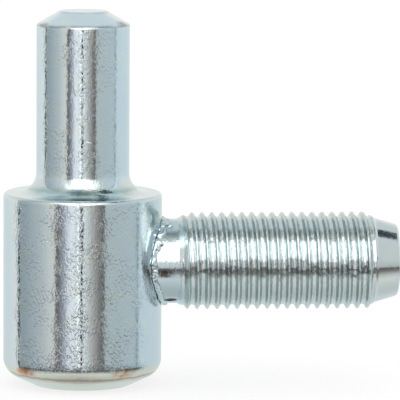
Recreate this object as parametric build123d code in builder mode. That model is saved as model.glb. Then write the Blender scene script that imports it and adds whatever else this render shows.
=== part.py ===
from build123d import *
from math import radians, tan
import os

# Lower part of a drill-in hinge: a solid barrel with the hinge pin standing on it,
# and a threaded stud welded to the barrel's side, which screws into the door frame.
# Millimetres and degrees. Z is the hinge axis. The origin lies on it, in the plane of
# the bearing shoulder that carries the upper barrel. The stud points along +X.

# Barrel
barrel_diameter = 15.7
barrel_height = 19.1
shoulder_edge_radius = 0.4
foot_flat_diameter = 9.8
foot_cone_angle = 26
foot_corner_radius = 1.7

# Pin
pin_diameter = 9.2
pin_height = 18
pin_root_radius = 2
pin_tip_angle = 30
pin_tip_height = 1.3

# Stud. The thread is metric fine, rolled on the blank that is modelled here
stud_drop = 6.9
stud_length = 31.35
neck_diameter = 8.35
neck_end = 9.6
thread_diameter = 9.8
thread_end = 29.3
thread_ramp_angle = 40
lead_diameter = 8.45
lead_angle = 16.5
lead_edge_radius = 0.4

# Weld flash, the collar of metal pressed out round the stud's foot
flash_diameter = 9.2
flash_thickness = 0.65
flash_edge_chamfer = 0.2

barrel_radius = barrel_diameter / 2
pin_radius = pin_diameter / 2
neck_radius = neck_diameter / 2
thread_radius = thread_diameter / 2
lead_radius = lead_diameter / 2
flash_radius = flash_diameter / 2
stud_level = -stud_drop

os.makedirs("parts", exist_ok=True)

# Barrel and pin, turned in one piece
foot_level = -barrel_height
foot_flat_radius = foot_flat_diameter / 2
foot_cone_height = (barrel_radius - foot_flat_radius) * tan(radians(foot_cone_angle))
pin_tip_radius = pin_radius - pin_tip_height / tan(radians(pin_tip_angle))
with BuildPart() as hinge_barrel:
    with BuildSketch(Plane.XZ):
        with BuildLine():
            FilletPolyline(
                (0, foot_level),
                (foot_flat_radius, foot_level),
                (barrel_radius, foot_level + foot_cone_height),
                (barrel_radius, 0),
                (pin_radius, 0),
                (pin_radius, pin_height - pin_tip_height),
                (pin_tip_radius, pin_height),
                (0, pin_height),
                radius=(0, foot_corner_radius, shoulder_edge_radius, pin_root_radius, 0, 0),
            )
            Line((0, pin_height), (0, foot_level))
        make_face()
    revolve(axis=Axis.Z)
hinge_barrel.part.label = "hinge_barrel"
export_step(hinge_barrel.part, "parts/hinge_barrel.step")

# Flash, a collar that follows the barrel's curve
flash_reach = barrel_radius + flash_thickness
with BuildPart() as flash:
    with BuildSketch(Plane.XY.offset(stud_level)):
        Circle(flash_reach)
    extrude(amount=flash_radius, both=True)
    with BuildSketch(Plane.YZ):
        with Locations((0, stud_level)):
            Circle(flash_radius)
    extrude(amount=flash_reach, mode=Mode.INTERSECT)
    outer_rim = flash.edges().sort_by(Axis.X)[-1]
    chamfer(outer_rim, flash_edge_chamfer)

# Stud, with its foot shaped to the barrel it is welded to
stud_plane = Plane(origin=(0, 0, stud_level), x_dir=(1, 0, 0), z_dir=(0, -1, 0))
thread_slope = tan(radians(thread_ramp_angle))
thread_run_in = (thread_radius - neck_radius) / thread_slope
thread_run_out = (thread_radius - lead_radius) / thread_slope
tip_radius = lead_radius - (stud_length - thread_end) * tan(radians(lead_angle))
with BuildPart() as threaded_stud:
    with BuildSketch(stud_plane):
        with BuildLine():
            FilletPolyline(
                (0, 0),
                (0, neck_radius),
                (neck_end, neck_radius),
                (neck_end + thread_run_in, thread_radius),
                (thread_end - thread_run_out, thread_radius),
                (thread_end, lead_radius),
                (stud_length, tip_radius),
                (stud_length, 0),
                radius=(0, 0, 0, 0, 0, lead_edge_radius),
            )
            Line((stud_length, 0), (0, 0))
        make_face()
    revolve(axis=Axis((0, 0, stud_level), (1, 0, 0)))
    add(flash.part)
    with BuildSketch(Plane.XY.offset(stud_level)):
        Circle(barrel_radius)
    extrude(amount=thread_radius, both=True, mode=Mode.SUBTRACT)
threaded_stud.part.label = "threaded_stud"
export_step(threaded_stud.part, "parts/threaded_stud.step")
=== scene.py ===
# Looks for the lower part of a drill-in hinge: bright zinc plated steel, a turned barrel
# with its pin, and a rolled M10 x 1 stud welded to the barrel's side.
import math

import bmesh
import bpy
from mathutils import Matrix, Vector, noise


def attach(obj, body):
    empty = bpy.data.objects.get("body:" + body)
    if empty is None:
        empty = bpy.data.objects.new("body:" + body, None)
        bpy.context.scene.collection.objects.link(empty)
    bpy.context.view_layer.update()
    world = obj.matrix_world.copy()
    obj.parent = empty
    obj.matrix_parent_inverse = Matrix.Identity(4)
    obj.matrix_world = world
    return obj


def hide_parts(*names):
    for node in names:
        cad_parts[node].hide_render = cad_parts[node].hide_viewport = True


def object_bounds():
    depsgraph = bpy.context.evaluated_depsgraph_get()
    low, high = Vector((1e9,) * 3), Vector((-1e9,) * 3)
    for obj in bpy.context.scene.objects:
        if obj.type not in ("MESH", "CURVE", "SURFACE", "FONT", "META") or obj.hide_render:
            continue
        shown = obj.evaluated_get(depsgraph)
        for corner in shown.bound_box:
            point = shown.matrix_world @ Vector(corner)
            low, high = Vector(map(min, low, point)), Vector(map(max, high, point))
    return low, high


mm = 0.001
merge = 0.002 * mm           # points nearer than this are one
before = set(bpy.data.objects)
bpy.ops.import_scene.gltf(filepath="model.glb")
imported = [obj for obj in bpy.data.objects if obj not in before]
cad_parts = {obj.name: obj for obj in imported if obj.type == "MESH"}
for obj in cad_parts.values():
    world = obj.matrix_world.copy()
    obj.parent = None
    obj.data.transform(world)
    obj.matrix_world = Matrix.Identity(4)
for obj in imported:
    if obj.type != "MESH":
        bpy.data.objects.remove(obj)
cadLow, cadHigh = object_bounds()
print("frame loaded:", sorted(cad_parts))


def linear(hexColour, strength=1.0):
    channels = [int(hexColour[i:i + 2], 16) / 255 for i in (0, 2, 4)]
    curved = [c / 12.92 if c <= 0.04045 else ((c + 0.055) / 1.055) ** 2.4 for c in channels]
    return [c * strength for c in curved] + [1.0]


def addNode(tree, kind, inputs=None, stops=(), **settings):
    # Each input is a value, a socket, or a node whose first live output is meant
    node = tree.nodes.new("ShaderNode" + kind)
    for name, value in settings.items():
        setattr(node, name, value)
    for name, value in (inputs or {}).items():
        if isinstance(value, bpy.types.Node):
            value = next(socket for socket in value.outputs if socket.enabled)
        if isinstance(value, bpy.types.NodeSocket):
            tree.links.new(value, node.inputs[name])
        else:
            node.inputs[name].default_value = value
    for i, (place, colour) in enumerate(stops):  # a colour ramp's stops, in order
        elements = node.color_ramp.elements
        element = elements[i] if i < len(elements) else elements.new(1.0)
        element.position = place
        element.color = colour
    return node


# Blue passivated zinc plate on steel: the part was plated after welding, so the plate lies
# over drawn bar and rolled thread alike. To the eye it is a bright mirror with a cold blue
# cast and a fine orange peel that frays each reflection's edge, yellower towards the foot,
# where the bath ran off, and orange in spots along the foot's corner.
zinc = {
    "blue": "D3E0E5",
    "yellow": "DDE2DA",
    "pink": "D6DCE2",
    "bright": "DEE3E4",      # on the stud, where rolling burnished the steel
    "neck": "CEDCE2",        # the stud's neck, turned and not rolled, is bluer
    "flank": "BECACB",       # painted shade on the thread's flanks, darker than crest and root
    "pinRootReflection": "BACECE",        # painted dark reflection in the root of the pin
    "shade": "8FB0B2",       # painted shade on the ring in front of the pin
    "pale": "E4EFF5",        # painted light on the pin's tip cone
    "tipEdgeReflection": "8E9496",        # painted dark reflection along the edge where the tip cone starts
    "run": "DEE0D6",         # below the foot's corner
    "orangeTintAndReflection": "BF8C66",        # passivation gone orange in spots; the spot on the shoulder's front is a painted reflection of the pin
    "brownBand": "B8A496",        # and brownish along a line below the corner
    "scale": "6E6660",       # brown weld scale that the plate left bare
    "poreShade": "1E2428",        # a pore in the weld, unplated, painted near black for the shade in its hollow
    "cloud": 1.6,            # mm across, clouds of tint
    "cloudTints": (0.36, 0.5, 0.66),  # where in the noise they are pink, plain and yellow
    "wander": 1.1,           # mm across, waves in the edges of the tones up the bar
    "wanderHeight": 0.3,     # mm
    "fleck": 0.6,            # mm across, flecks that break up a spot
    "fleckEdge": (0.32, 0.62),   # where in the noise a fleck fades in
    "fleckFloor": 0.25,      # share of the spot's colour between its flecks
    "spotCore": 0.35,        # share of a spot's radius that has its full colour
    "spotFlat": 2.6,         # a spot is this much wider than high
    "wave": 1.8,             # mm, slow unevenness of the drawn bar
    "waveHeight": 0.004,     # mm
    "peel": 0.42,            # mm between the lumps of the orange peel
    "peelHeight": 0.007,     # mm
    "peelStretch": 0.6,      # lumps are longer along the bar than round it
    "grain": 0.16,           # mm, crystals, drawn coarser than the real 0.02 to show
    "grainHeight": 0.0016,   # mm
    "speck": 0.19,           # mm between the coarser crystals that sparkle
    "speckHeight": 0.009,    # mm
    "speckEdge": (0.44, 0.72),
    "patchy": 2.4,           # mm across, areas with more specks
    "patchyEdge": (0.4, 0.6),
    "patchyFloor": 0.3,      # share of the specks' height elsewhere
    "markCore": 0.7,         # share of a mark's length that has its full depth
    "roughEdge": (0.3, 0.7),     # the roughness follows the clouds of tint
    "roughSpread": (0.7, 1.5),   # between these times the piece's own
    "noiseRoughness": 0.55,
}


def zincMaterial(name, piece, base="blue"):
    # The piece's dictionary gives tint, peel and rough, and it may give tones (mm up, colour),
    # spots (place, radius, colour, share) and marks (place, direction, length, width, depth)
    material = bpy.data.materials.new(name)
    material.use_nodes = True
    tree = material.node_tree
    shader = tree.nodes["Principled BSDF"]
    shader.inputs["Metallic"].default_value = 1.0
    place = addNode(tree, "TexCoord").outputs["Object"]
    axes = addNode(tree, "SeparateXYZ", {"Vector": place})
    stretched = addNode(tree, "VectorMath", {0: place, 1: (1.0, 1.0, zinc["peelStretch"])},
                        operation="MULTIPLY")
    noises, needs = {}, {"wander": "tones", "fleck": "spots"}
    for use, vector, detail in (("cloud", place, 2.0), ("wander", place, 1.0), ("fleck", place, 2.0),
                                ("wave", place, 0.0), ("peel", stretched, 1.5), ("grain", place, 1.0),
                                ("speck", stretched, 2.0), ("patchy", place, 1.0)):
        if needs.get(use, "tint") not in piece:
            continue
        noises[use] = addNode(tree, "TexNoise", {
            "Vector": vector, "Scale": 1 / (zinc[use] * mm), "Detail": detail,
            "Roughness": zinc["noiseRoughness"]})

    # Tint: clouds of pink and yellow, then the tones up the bar
    tints = addNode(tree, "ValToRGB", {"Fac": noises["cloud"]}, [
        (at, linear(zinc[tone])) for at, tone in zip(zinc["cloudTints"], ("pink", base, "yellow"))])
    colour = addNode(tree, "Mix", {"Factor": piece["tint"], "A": linear(zinc[base]), "B": tints},
                     data_type="RGBA")
    if "tones" in piece:
        low, high = piece["tones"][0][0], piece["tones"][-1][0]
        wander = addNode(tree, "Math", {0: noises["wander"], 1: zinc["wanderHeight"] * mm,
                                        2: -zinc["wanderHeight"] / 2 * mm}, operation="MULTIPLY_ADD")
        up = addNode(tree, "Math", {0: axes.outputs["Z"], 1: wander}, operation="ADD")
        level = addNode(tree, "MapRange", {"Value": up, "From Min": low * mm, "From Max": high * mm})
        bands = addNode(tree, "ValToRGB", {"Fac": level},
                        [((z - low) / (high - low), linear(zinc[tone])) for z, tone in piece["tones"]])
        banded = addNode(tree, "Mix", {"Factor": 1.0, "A": colour, "B": bands},
                         data_type="RGBA", blend_type="MULTIPLY")
        colour = addNode(tree, "Mix", {"Factor": 1.0, "A": banded, "B": linear(zinc["blue"])},
                         data_type="RGBA", blend_type="DIVIDE")

    # The stud's neck is bluer, and its flanks, between root and crest, get painted shade
    if base == "bright":
        start, end = ((stud["neckEnd"] + past) * mm for past in stud["neckBlend"])
        onNeck = addNode(tree, "MapRange", {"Value": axes.outputs["X"], "From Min": start, "From Max": end},
                         interpolation_type="SMOOTHSTEP")
        colour = addNode(tree, "Mix", {"Factor": onNeck, "A": colour, "B": linear(zinc["neck"])},
                         data_type="RGBA")
        offAxis = addNode(tree, "VectorMath", {0: place, 1: (0, 1, 1), 2: (0, 0, -stud["level"] * mm)},
                          operation="MULTIPLY_ADD")
        radius = addNode(tree, "VectorMath", {0: offAxis}, operation="LENGTH")
        middle = (stud["crestRadius"] + stud["rootRadius"]) / 2 * mm
        past = addNode(tree, "Math", {0: radius, 1: middle}, operation="SUBTRACT")
        away = addNode(tree, "Math", {0: past}, operation="ABSOLUTE")
        start, end = (edge * mm for edge in stud["flankBlend"])
        onShadedFlank = addNode(tree, "MapRange", {"Value": away, "From Min": start, "From Max": end},
                          interpolation_type="SMOOTHSTEP")
        colour = addNode(tree, "Mix", {"Factor": onShadedFlank, "A": colour, "B": linear(zinc["flank"])},
                         data_type="RGBA")

    # Spots, broken up into flecks
    if "spots" in piece:
        start, end = zinc["fleckEdge"]
        flecks = addNode(tree, "MapRange", {"Value": noises["fleck"], "From Min": start, "From Max": end,
                                            "To Min": zinc["fleckFloor"]}, interpolation_type="SMOOTHSTEP")
    for where, radius, tone, share in piece.get("spots", ()):
        away = addNode(tree, "VectorMath", {0: place, 1: [q * mm for q in where]}, operation="SUBTRACT")
        flat = addNode(tree, "VectorMath", {0: away, 1: (1, 1, zinc["spotFlat"])}, operation="MULTIPLY")
        far = addNode(tree, "VectorMath", {0: flat}, operation="LENGTH")
        near = addNode(tree, "MapRange", {"Value": far, "From Min": radius * mm,
                                          "From Max": radius * zinc["spotCore"] * mm},
                       interpolation_type="SMOOTHSTEP")
        broken = addNode(tree, "Math", {0: near, 1: flecks}, operation="MULTIPLY")
        amount = addNode(tree, "Math", {0: broken, 1: share}, operation="MULTIPLY")
        colour = addNode(tree, "Mix", {"Factor": amount, "A": colour, "B": linear(zinc[tone])},
                         data_type="RGBA")
    tree.links.new(colour.outputs["Result"], shader.inputs["Base Color"])

    # Height: slow waves, orange peel, crystals, and specks in crowds
    start, end = zinc["patchyEdge"]
    crowd = addNode(tree, "MapRange", {"Value": noises["patchy"], "From Min": start, "From Max": end,
                                       "To Min": zinc["patchyFloor"]}, interpolation_type="SMOOTHSTEP")
    start, end = zinc["speckEdge"]
    crisp = addNode(tree, "MapRange", {"Value": noises["speck"], "From Min": start, "From Max": end},
                    interpolation_type="SMOOTHSTEP")
    specks = addNode(tree, "Math", {0: crisp, 1: crowd}, operation="MULTIPLY")
    total = 0.0
    for lumps, tall in ((noises["wave"], "waveHeight"), (noises["peel"], "peelHeight"),
                        (noises["grain"], "grainHeight"), (specks, "speckHeight")):
        total = addNode(tree, "Math", {0: lumps, 1: zinc[tall] * piece["peel"] * mm, 2: total},
                        operation="MULTIPLY_ADD")
    if base == "bright":  # the lead cone is smoother than the thread
        start, end = ((stud["threadEnd"] + past) * mm for past in stud["leadBlend"])
        calm = addNode(tree, "MapRange", {"Value": axes.outputs["X"], "From Min": start, "From Max": end,
                                          "To Min": 1.0, "To Max": stud["leadPeel"]},
                       interpolation_type="SMOOTHSTEP")
        total = addNode(tree, "Math", {0: total, 1: calm}, operation="MULTIPLY")
    for where, way, long, wide, deep in piece.get("marks", ()):
        away = addNode(tree, "VectorMath", {0: place, 1: [q * mm for q in where]}, operation="SUBTRACT")
        along = addNode(tree, "VectorMath", {0: away, 1: Vector(way).normalized()}, operation="DOT_PRODUCT")
        line = addNode(tree, "VectorMath", {0: away, 1: Vector(way)}, operation="PROJECT")
        across = addNode(tree, "VectorMath", {0: away, 1: line}, operation="DISTANCE")
        past = addNode(tree, "Math", {0: along}, operation="ABSOLUTE")
        within = addNode(tree, "MapRange", {"Value": past, "From Min": long / 2 * mm,
                                            "From Max": long / 2 * zinc["markCore"] * mm},
                         interpolation_type="SMOOTHSTEP")
        near = addNode(tree, "MapRange", {"Value": across, "From Min": wide / 2 * mm, "From Max": 0.0},
                       interpolation_type="SMOOTHSTEP")
        trough = addNode(tree, "Math", {0: within, 1: near}, operation="MULTIPLY")
        total = addNode(tree, "Math", {0: trough, 1: -deep * mm, 2: total}, operation="MULTIPLY_ADD")
    bump = addNode(tree, "Bump", {"Strength": 1.0, "Distance": 1.0, "Height": total})
    tree.links.new(bump.outputs["Normal"], shader.inputs["Normal"])
    (start, end), (least, most) = zinc["roughEdge"], zinc["roughSpread"]
    roughness = addNode(tree, "MapRange", {
        "Value": noises["cloud"], "From Min": start, "From Max": end,
        "To Min": piece["rough"] * least, "To Max": piece["rough"] * most}, interpolation_type="SMOOTHSTEP")
    tree.links.new(roughness.outputs["Result"], shader.inputs["Roughness"])
    print("material ready:", name)
    return material


def section(bm, points):
    corners = [bm.verts.new(point) for point in points]
    lines = [bm.edges.new(pair) for pair in zip(corners[:-1], corners[1:])]
    return corners + lines


def finishPiece(bm, name, material, node=None):
    bmesh.ops.remove_doubles(bm, verts=bm.verts, dist=merge)
    bmesh.ops.recalc_face_normals(bm, faces=bm.faces)
    mesh = bpy.data.meshes.new(name)
    bm.to_mesh(mesh)
    bm.free()
    mesh.polygons.foreach_set("use_smooth", [True] * len(mesh.polygons))
    mesh.materials.append(material)
    piece = bpy.data.objects.new(name, mesh)
    bpy.context.scene.collection.objects.link(piece)
    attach(piece, "root")
    if node:
        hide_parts(node)
    print(name, "faces:", len(mesh.polygons))


# Barrel and pin, turned from one bar. Lengths in mm, angles in degrees
barrel = {
    "radius": 7.85,
    "height": 19.1,
    "shoulderRound": 0.36,
    "footFlat": 4.9,
    "footAngle": 26,
    "footRound": 1.7,
    "footEdgeRound": 0.15,
    "pinRadius": 4.6,
    "pinHeight": 18.0,
    "pinRootRound": 2.0,
    "tipAngle": 30,
    "tipHeight": 1.3,
    "tipRound": 0.35,
    "tipEdgeRound": 0.12,
    "steps": 256,
    "roundSteps": 10,        # faces across each rounding
    "ringGap": 0.6,          # between the rings that divide the long walls
    "tint": 0.5,
    "peel": 1.0,
    "rough": 0.06,
    # Tones up the bar: near the pin's root and along the tip's edge they are painted dark reflection, on the
    # tip cone painted light
    "tones": [(-19.1, "run"), (-17.85, "run"), (-17.72, "brownBand"), (-17.6, "brownBand"), (-17.5, "run"),
              (-17.0, "run"), (-16.7, "blue"), (0.3, "blue"), (0.45, "pinRootReflection"), (0.6, "pinRootReflection"), (0.85, "blue"),
              (16.58, "blue"), (16.7, "tipEdgeReflection"), (16.82, "pale"), (17.8, "pale"), (17.95, "blue")],
    # The spot on the shoulder's front, at height 0, is a painted reflection of the pin; the two at the tip's
    # edge paint dark reflection, and the last paints shade in front of the pin
    "spots": [((-5.8, -4.9, -17.15), 1.7, "orangeTintAndReflection", 1.0), ((3.7, -6.6, -17.1), 1.8, "orangeTintAndReflection", 0.75),
              ((-0.8, -6.9, -17.6), 2.6, "brownBand", 0.3), ((-0.6, -7.3, 0.0), 1.5, "orangeTintAndReflection", 0.35),
              ((-4.1, -2.0, 16.75), 1.0, "tipEdgeReflection", 0.9), ((3.9, -2.3, 16.9), 1.2, "tipEdgeReflection", 0.8),
              ((-0.6, -5.3, 0.5), 1.4, "shade", 0.6)],
    "marks": [((0.2, -4.6, 5.5), (1, 0.2, -0.25), 1.1, 0.12, 0.03),
              ((-3.6, -7.0, -3.9), (1, -0.3, 0.1), 0.6, 0.25, 0.08),
              ((-3.5, -7.0, -15.2), (0.3, 0, 1), 0.5, 0.22, 0.08),
              ((-5.1, -5.9, -4.5), (0.3, 0, 1), 0.7, 0.15, 0.03)],
}


def barrelPiece():
    radius, height, footFlat, pinRadius, pinHeight, tipHeight = (
        barrel[name] for name in ("radius", "height", "footFlat", "pinRadius", "pinHeight", "tipHeight"))
    foot, tip = math.radians(barrel["footAngle"]), math.radians(barrel["tipAngle"])
    cone = (radius - footFlat) * math.tan(foot)
    tipRadius = pinRadius - tipHeight / math.tan(tip)
    corners = [  # radius, height, rounding and how far the wall turns there, from the foot up
        (footFlat, -height, barrel["footEdgeRound"], foot),
        (radius, cone - height, barrel["footRound"], math.pi / 2 - foot),
        (radius, 0, barrel["shoulderRound"], math.pi / 2),
        (pinRadius, 0, barrel["pinRootRound"], math.pi / 2),
        (pinRadius, pinHeight - tipHeight, barrel["tipRound"], math.pi / 2 - tip),
        (tipRadius, pinHeight, barrel["tipEdgeRound"], tip),
    ]
    bm = bmesh.new()
    profile = [(0, -height)] + [(r, z) for r, z, rounding, turn in corners] + [(0, pinHeight)]
    geometry = section(bm, [(r * mm, 0, z * mm) for r, z in profile])
    bmesh.ops.spin(bm, geom=geometry, cent=(0, 0, 0), axis=(0, 0, 1), dvec=(0, 0, 0),
                   angle=2 * math.pi, steps=barrel["steps"], use_merge=True, use_duplicate=False)
    bmesh.ops.remove_doubles(bm, verts=bm.verts, dist=merge)
    for r, z, rounding, turn in corners:
        ring = [e for e in bm.edges if all(abs(v.co.z - z * mm) < 0.01 * mm and
                                           abs(v.co.xy.length - r * mm) < 0.01 * mm for v in e.verts)]
        bmesh.ops.bevel(bm, geom=ring, offset=rounding * mm * math.tan(turn / 2), offset_type="OFFSET",
                        segments=barrel["roundSteps"], profile=0.5, affect="EDGES", material=-1,
                        clamp_overlap=False)
    for low, high, r in ((-height, 0, radius), (0, pinHeight, pinRadius)):
        count = int((high - low) / barrel["ringGap"])
        for i in range(1, count):
            level = (low + (high - low) * i / count) * mm
            cut = [f for f in bm.faces if min(v.co.z for v in f.verts) < level < max(v.co.z for v in f.verts)
                   and all(abs(v.co.xy.length - r * mm) < 0.01 * mm for v in f.verts)]
            edges = {e for f in cut for e in f.edges}
            verts = {v for f in cut for v in f.verts}
            bmesh.ops.bisect_plane(bm, geom=cut + list(edges) + list(verts), dist=0.001 * mm,
                                   plane_co=(0, 0, level), plane_no=(0, 0, 1))
    finishPiece(bm, "turnedBarrel", zincMaterial("bluePassivatedZincOnTurnedBar", barrel),
                "hinge_barrel")


# Stud: rolled thread, plain neck and plain lead-in cone on one blank
stud = {
    "level": -6.9,
    "start": 6.5,            # inside the barrel, from the hinge axis
    "end": 31.35,
    "neckRadius": 4.19,
    "neckEnd": 9.35,
    "crestRadius": 4.84,
    "rootRadius": 4.38,
    "pitch": 1.0,
    "flankAngle": 30,
    "crestFlat": 0.12,
    "crestSoft": 0.06,
    "rootSoft": 0.12,
    "crestPlace": -0.1,      # where a crest stands, past a whole millimetre, on the stud's top
    "ragged": 0.038,         # unevenness of the rolled crests, in two sizes
    "raggedSizes": ((0.6, 1.0), (0.25, 0.7)),    # mm across, share
    "threadEnd": 29.05,
    "leadRadius": 4.225,
    "startAngle": 30,        # run-in and run-out of the thread
    "endAngle": 40,
    "leadAngle": 16.5,
    "leadRound": 0.3,
    "leadRoundIn": 0.7,      # share of it that its centre lies in from the cone's edge
    "turnJoin": 0.005,       # ends of two turns that are nearer than this are one
    "neckBlend": (0.4, -0.1),    # past the neck's end, where its tint fades in
    "flankBlend": (0.2, 0.11),   # from a flank's middle, the same
    "leadBlend": (-0.2, 0.1),    # past the thread's end, where the peel fades
    "leadPeel": 0.35,            # to this share of it
    "steps": 144,
    "tint": 0.4,
    "peel": 1.1,
    "rough": 0.07,
    # The pore is painted near black for the shade in its hollow
    "spots": [((7.75, -4.1, -7.65), 1.35, "scale", 2.0), ((8.65, -2.15, -10.5), 0.72, "poreShade", 4.0)],
    "marks": [((8.7, -2.2, -10.4), (1, 0, 0), 1.1, 1.0, 0.3)],
}


def studLimit(s):
    # The largest radius that the blank leaves at s mm from the hinge axis
    start, end, lead = (math.tan(math.radians(stud[name]))
                        for name in ("startAngle", "endAngle", "leadAngle"))
    leadRound, left = stud["leadRound"], stud["end"] - s
    limits = [stud["neckRadius"] + max(0, s - stud["neckEnd"]) * start]
    if s < stud["threadEnd"]:
        limits.append(stud["leadRadius"] + (stud["threadEnd"] - s) * end)
    else:
        limits.append(stud["leadRadius"] - (s - stud["threadEnd"]) * lead)
    if left < leadRound:
        tip = stud["leadRadius"] - (stud["end"] - stud["threadEnd"]) * lead
        centre = tip - leadRound * stud["leadRoundIn"]
        limits.append(centre + math.sqrt(max(0, leadRound ** 2 - (leadRound - left) ** 2)))
    return min(limits)


def studPiece():
    pitch, level = stud["pitch"], stud["level"] * mm
    crest, root = stud["crestRadius"], stud["rootRadius"]
    flank = (crest - root) * math.tan(math.radians(stud["flankAngle"]))
    half = stud["crestFlat"] / 2
    turn = [(-half, crest), (half, crest), (half + flank, root), (pitch - half - flank, root)]
    turns = range(int(stud["start"]) - 1, int(stud["end"]) + 2)
    bm = bmesh.new()
    section(bm, [((n * pitch + s + stud["crestPlace"]) * mm, 0, level + r * mm)
                 for n in turns for s, r in turn])
    line = [v for v in bm.verts if len(v.link_edges) == 2]
    crests = [v for v in line if v.co.z - level > (crest - 0.01) * mm]
    roots = [v for v in line if v not in crests]
    for soft, chosen in (("crestSoft", crests), ("rootSoft", roots)):
        bmesh.ops.bevel(bm, geom=chosen, offset=stud[soft] * mm, offset_type="OFFSET", segments=3,
                        profile=0.5, affect="VERTICES", material=-1, clamp_overlap=False)
    # a spin that climbs makes one turn of the helix, and the turns meet end to end
    bmesh.ops.spin(bm, geom=list(bm.verts) + list(bm.edges), cent=(0, 0, level), axis=(1, 0, 0),
                   dvec=(pitch * mm / stud["steps"], 0, 0), angle=2 * math.pi, steps=stud["steps"],
                   use_merge=False, use_duplicate=False)
    bmesh.ops.remove_doubles(bm, verts=bm.verts, dist=stud["turnJoin"] * mm)
    for x, side in ((stud["start"], "clear_inner"), (stud["end"], "clear_outer")):
        bmesh.ops.bisect_plane(bm, geom=list(bm.verts) + list(bm.edges) + list(bm.faces), dist=0.001 * mm,
                               plane_co=(x * mm, 0, 0), plane_no=(1, 0, 0), **{side: True})
    for v in bm.verts:
        out = Vector((0, v.co.y, v.co.z - level))
        rough = sum(share * noise.noise(v.co / (size * mm)) for size, share in stud["raggedSizes"])
        rough *= stud["ragged"] * mm
        out.length = min(out.length + rough, crest * mm, studLimit(v.co.x / mm) * mm)
        v.co = Vector((v.co.x, out.y, level + out.z))
    bmesh.ops.holes_fill(bm, edges=[e for e in bm.edges if e.is_boundary], sides=0)
    finishPiece(bm, "rolledStud", zincMaterial("bluePassivatedZincOnRolledThread", stud, "bright"),
                "threaded_stud")


# Weld flash, squeezed out round the stud's foot: a thin crumpled lip that stands a hair off
# the barrel, and on the upper front it has run on up the neck in lumps
flash = {
    "lip": 4.4,              # radius
    "foot": 4.14,            # radius where it meets the barrel
    "height": 0.52,
    "runUp": 0.85,           # further, on the upper front
    "runFrom": 20,           # degrees up from the stud's near side
    "runTo": 88,
    "runSize": 0.7,          # between the tongues of the run
    "runRagged": (0.55, 0.9),    # the tongues' mean reach, and how much it varies
    "runShape": 0.6,         # below 1, the run's ends are blunter
    "fixedBelow": 0.12,      # the collar stays on the barrel up to here
    "freeOver": 0.2,         # and is loose this much further out
    "lump": 0.75,            # across
    "wave": 0.14,            # height of a lump
    "lumpOut": 1.2,          # and this times as much away from the barrel
    "crumple": 0.42,         # across
    "crumpleWave": 0.09,
    "steps": 300,
    "tint": 0.9,
    "peel": 1.5,
    "rough": 0.12,
}


def flashPiece():
    level, neck = stud["level"] * mm, stud["neckRadius"]
    lip, foot, tall = flash["lip"], flash["foot"], flash["height"]
    reach, varies = flash["runRagged"]
    profile = [(-0.35, neck - 0.4), (-0.35, foot), (0.02, foot), (0.08, lip - 0.03), (0.16, lip),
               (0.24, lip - 0.02), (tall - 0.02, lip - 0.08), (tall + 0.04, neck + 0.02),
               (tall + 0.05, neck - 0.2), (tall - 0.1, neck - 0.4)]  # mm out from the barrel, radius
    bm = bmesh.new()
    geometry = section(bm, [(x * mm, 0, level + r * mm) for x, r in profile])
    geometry.append(bm.edges.new((geometry[len(profile) - 1], geometry[0])))
    bmesh.ops.spin(bm, geom=geometry, cent=(0, 0, level), axis=(1, 0, 0), dvec=(0, 0, 0),
                   angle=2 * math.pi, steps=flash["steps"], use_merge=True, use_duplicate=False)
    bmesh.ops.remove_doubles(bm, verts=bm.verts, dist=merge)
    long = [e for e in bm.edges if abs(e.verts[0].co.x - e.verts[1].co.x) > 0.05 * mm]
    bmesh.ops.subdivide_edges(bm, edges=long, cuts=3, use_grid_fill=True)
    for v in bm.verts:
        x, y, z = v.co.x / mm, v.co.y / mm, (v.co.z - level) / mm
        up = math.degrees(math.atan2(z, -y))
        share = (up - flash["runFrom"]) / (flash["runTo"] - flash["runFrom"])
        ridge = math.sin(math.pi * share) if 0 < share < 1 else 0.0
        ragged = reach + varies * noise.noise(Vector((5.0, y, z)) / flash["runSize"])
        free = max(0.0, min(1.0, (x - flash["fixedBelow"]) / flash["freeOver"]))
        x += free * ridge ** flash["runShape"] * ragged * flash["runUp"]
        lump = noise.noise(Vector((x, y, z)) / flash["lump"]) * flash["wave"]
        lump += noise.noise(Vector((x + 3, y, z)) / flash["crumple"]) * flash["crumpleWave"]
        out = math.hypot(y, z)
        if out > neck - 0.1 and x > 0:
            grow = 1 + lump * (1 + ridge) / out
            y, z = y * grow, z * grow
            x += lump * flash["lumpOut"] * free
        saddle = math.sqrt(max(0, barrel["radius"] ** 2 - y * y))
        v.co = Vector(((saddle + x) * mm, y * mm, level + z * mm))
    finishPiece(bm, "weldFlash", zincMaterial("bluePassivatedZincOnWeldFlash", flash))


barrelPiece()
studPiece()
flashPiece()

# Camera: a long lens, nearly level and nearly square on, a hair to the left. Degrees and mm
photo = {
    "azimuth": -4.5,
    "elevation": 7.2,
    "roll": 0.38,
    "distance": 400.0,
    "pixelsPerMm": 10.1,
    "width": 400,
    "originX": 82.75,        # where the hinge axis meets the shoulder, in pixels
    "originY": 192.1,
}


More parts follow.
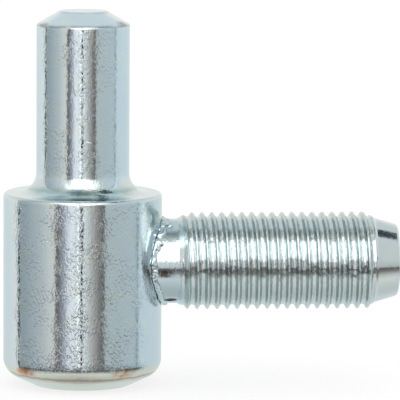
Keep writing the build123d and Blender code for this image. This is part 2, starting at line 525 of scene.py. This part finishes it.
def placeCamera():
    a, e, roll = (math.radians(photo[name]) for name in ("azimuth", "elevation", "roll"))
    back = Vector((math.sin(a) * math.cos(e), -math.cos(a) * math.cos(e), math.sin(e)))
    right = Vector((math.cos(a), math.sin(a), 0))
    up = back.cross(right)
    right, up = right * math.cos(roll) + up * math.sin(roll), up * math.cos(roll) - right * math.sin(roll)
    scale, middle = photo["pixelsPerMm"], photo["width"] / 2
    aim = (right * (middle - photo["originX"]) - up * (middle - photo["originY"])) / scale * mm
    data = bpy.data.cameras.new("photoCamera")
    data.sensor_width = 36
    data.lens = data.sensor_width * photo["distance"] * scale / photo["width"]
    data.clip_start, data.clip_end = 0.01, 10
    camera = bpy.data.objects.new("photoCamera", data)
    bpy.context.scene.collection.objects.link(camera)
    turn = Matrix((right, up, back)).transposed().to_4x4()
    camera.matrix_world = Matrix.Translation(aim + back * photo["distance"] * mm) @ turn
    bpy.context.scene.camera = camera
    print("camera ready")


placeCamera()

# Studio: a white floor and a tent of light with grey sides, as the plating mirrors it.
# Angles are in degrees, round from the camera's side towards the stud, and up from level
studio = {
    "white": "FFFFFF",
    "paper": "F8F8F8",
    "paperGlow": 1.06,
    "floorShade": 0.3,
    "floorHalf": 3.0,            # metres, half the floor's width
    "floorGap": 0.01,            # mm between the foot and the floor
    "walls": [  # angle round, colour, strength
        (-180, "DDEBEC"), (-140, "E6EEF0"), (-114, "F8F8F4"), (-107, "ECEEEC"), (-105.5, "2A3234"),
        (-103, "2A3234"), (-101, "ACB4B8"), (-94, "A6B0B4"), (-60, "CACED0"), (-46, "E4E4E0"),
        (-38.8, "EEE4D8"), (-37.3, "666468"), (-31, "8C8A8E"), (-26, "B0AEB4"), (-19, "F6F6FC"),
        (-10, "FFFFFF", 1.1), (-8, "A8A4A4"), (-6.5, "FFFFFF", 1.4), (-2.2, "FFFFFF", 1.4),
        (-1.4, "020306"), (2, "020306"), (2.8, "FFFFFF", 1.1), (7, "E8EAE8"), (14, "CCC6C2"),
        (26, "928A86"), (32.3, "666668"), (34.8, "C6CCCC"), (60, "C6CED0"), (85, "C8D2D6"),
        (89, "849298"), (92, "DCE8EE"), (150, "E0EAEC")],
    "wallsLow": (-14, 0.95),     # the walls are a little darker low down: angle up, share
    "wallsHigh": (8, 1.2),
    "softbox": 3.2,              # strength
    "softboxEdge": (-12, 38),    # fades from the first angle round to the second
    "softboxFlare": 0.35,        # and is wider higher up
    "softboxUp": [(3, 0), (12, 1), (54, 1), (63, 0)],
    "frontEnds": (96, 112),      # the front's roof and table give way to the back's
    "front": [  # angle up, colour, share that hides the walls
        (-90, "C0C4C2", 1), (-70, "C8D0D0", 1), (-42, "E4EAE8", 1), (-32, "CCCECC", 1), (-23, "8A8886", 1),
        (-15, "605E5E", 1), (-10.5, "8C8A88", 0), (57, "E0E2DC", 0), (64, "E2E4DE", 1), (72, "C4C8C4", 1),
        (82, "8E9C9C", 1), (90, "8E9C9E", 1)],
    "back": [
        (-90, "C0C4C2", 1), (-70, "C4CECE", 1), (-50, "DCE4E4", 1), (-30, "DCE6E8", 0), (-2, "E4ECEC", 0),
        (6, "F6F4EE", 1), (22, "F2F2EE", 1), (38, "D8E2E4", 1), (74, "D6E0E2", 1), (90, "8E9C9E", 1)],
    "gap": "3C464A",             # between the roof's two halves, on the stud's side
    "gapCentre": 98,
    "gapHalf": (32, 26),         # fades in from the first angle from its centre to the second
    "gapRise": (54, 57),         # and so upwards
    "gapFall": (71, 67),         # and downwards
}


def studioWorld():
    world = bpy.data.worlds.new("studioTent")
    bpy.context.scene.world = world
    world.use_nodes = True
    world.cycles.sampling_method = "NONE"
    tree = world.node_tree
    tree.nodes.clear()
    degree = math.radians(1)
    way = addNode(tree, "TexCoord").outputs["Generated"]
    turned = addNode(tree, "Mapping", {"Rotation": (0, 0, -photo["azimuth"] * degree), "Vector": way},
                     vector_type="POINT")
    axes = addNode(tree, "SeparateXYZ", {"Vector": turned})
    towards = addNode(tree, "Math", {0: axes.outputs["Y"], 1: -1.0}, operation="MULTIPLY")
    around = addNode(tree, "Math", {0: axes.outputs["X"], 1: towards}, operation="ARCTAN2")
    up = addNode(tree, "Math", {0: axes.outputs["Z"]}, operation="ARCSINE")
    roundShare = addNode(tree, "MapRange", {"Value": around, "From Min": -math.pi, "From Max": math.pi})
    upShare = addNode(tree, "MapRange", {"Value": up, "From Min": -math.pi / 2, "From Max": math.pi / 2})
    aside = addNode(tree, "Math", {0: around}, operation="ABSOLUTE")

    # Walls
    tones = addNode(tree, "ValToRGB", {"Fac": roundShare},
                    [(at / 360 + 0.5, linear(*tone)) for at, *tone in studio["walls"]])
    (low, dim), (high, full) = studio["wallsLow"], studio["wallsHigh"]
    dimmer = addNode(tree, "MapRange", {"Value": up, "From Min": low * degree, "From Max": high * degree,
                                        "To Min": dim, "To Max": full}, interpolation_type="SMOOTHSTEP")
    walls = addNode(tree, "Mix", {"Factor": 1.0, "A": tones, "B": dimmer},
                    data_type="RGBA", blend_type="MULTIPLY")

    # Softbox, over the camera
    above = addNode(tree, "Math", {0: up, 1: 0.0}, operation="MAXIMUM")
    flared = addNode(tree, "Math", {0: above, 1: -studio["softboxFlare"], 2: aside}, operation="MULTIPLY_ADD")
    near, far = studio["softboxEdge"]
    across = addNode(tree, "MapRange", {"Value": flared, "From Min": near * degree, "From Max": far * degree,
                                        "To Min": 1.0, "To Max": 0.0})
    band = addNode(tree, "ValToRGB", {"Fac": upShare},
                   [(at / 180 + 0.5, (share, share, share, 1)) for at, share in studio["softboxUp"]])
    softbox = addNode(tree, "Math", {0: across, 1: band}, operation="MULTIPLY")
    lit = addNode(tree, "Mix", {"Factor": softbox, "A": walls, "B": linear("FFFFFF", studio["softbox"])},
                  data_type="RGBA")

    # Above and below the walls: the tent's roof and the table, darker in front than behind
    front, back = (addNode(tree, "ValToRGB", {"Fac": upShare}, [
        (at / 180 + 0.5, linear(colour)[:3] + [share]) for at, colour, share in studio[side]])
        for side in ("front", "back"))
    near, far = studio["frontEnds"]
    inFront = addNode(tree, "MapRange", {"Value": aside, "From Min": near * degree, "From Max": far * degree,
                                         "To Min": 1.0, "To Max": 0.0})
    ends = addNode(tree, "Mix", {"Factor": inFront, "A": back, "B": front}, data_type="RGBA")
    endShare = addNode(tree, "Mix", {"Factor": inFront, "A": back.outputs["Alpha"],
                                     "B": front.outputs["Alpha"]}, data_type="FLOAT")
    tent = addNode(tree, "Mix", {"Factor": endShare, "A": lit, "B": ends}, data_type="RGBA")

    # The gap in the roof
    past = addNode(tree, "Math", {0: around, 1: studio["gapCentre"] * degree}, operation="SUBTRACT")
    gap = addNode(tree, "Math", {0: past}, operation="ABSOLUTE")
    for value, edge in ((gap, "gapHalf"), (up, "gapRise"), (up, "gapFall")):
        start, end = (angle * degree for angle in studio[edge])
        soft = addNode(tree, "MapRange", {"Value": value, "From Min": start, "From Max": end},
                       interpolation_type="SMOOTHSTEP")
        gap = soft if value is gap else addNode(tree, "Math", {0: gap, 1: soft}, operation="MULTIPLY")
    tent = addNode(tree, "Mix", {"Factor": gap, "A": tent, "B": linear(studio["gap"])}, data_type="RGBA")

    # The camera and matt surfaces see plain white
    ray = addNode(tree, "LightPath").outputs
    plain = addNode(tree, "Math", {0: ray["Is Camera Ray"], 1: ray["Is Diffuse Ray"]},
                    operation="MAXIMUM")
    shown = addNode(tree, "Mix", {"Factor": plain, "A": tent, "B": linear(studio["white"])}, data_type="RGBA")
    light = addNode(tree, "Background", {"Strength": 1.0, "Color": shown})
    addNode(tree, "OutputWorld", {"Surface": light})


def studioFloor():
    bm = bmesh.new()
    floorLevel = cadLow.z - studio["floorGap"] * mm
    bmesh.ops.create_grid(bm, x_segments=1, y_segments=1, size=studio["floorHalf"],
                          matrix=Matrix.Translation((0, 0, floorLevel)))
    mesh = bpy.data.meshes.new("studioFloor")
    bm.to_mesh(mesh)
    bm.free()
    floor = bpy.data.objects.new("studioFloor", mesh)
    bpy.context.scene.collection.objects.link(floor)
    material = bpy.data.materials.new("matWhitePaper")  # seamless paper: matt, and white on camera
    material.use_nodes = True
    tree = material.node_tree
    tree.nodes.clear()
    paper = addNode(tree, "BsdfDiffuse", {"Color": linear(studio["paper"])})
    glow = addNode(tree, "Emission", {"Color": linear(studio["white"]), "Strength": studio["paperGlow"]})
    pale = addNode(tree, "MixShader", {0: studio["floorShade"], 1: glow, 2: paper})
    clear = addNode(tree, "BsdfTransparent")
    ray = addNode(tree, "LightPath").outputs["Is Camera Ray"]
    seen = addNode(tree, "MixShader", {0: ray, 1: clear, 2: pale})
    addNode(tree, "OutputMaterial", {"Surface": seen})
    mesh.materials.append(material)


studioWorld()
studioFloor()
bpy.context.scene.view_settings.view_transform = "Standard"
print("studio ready")
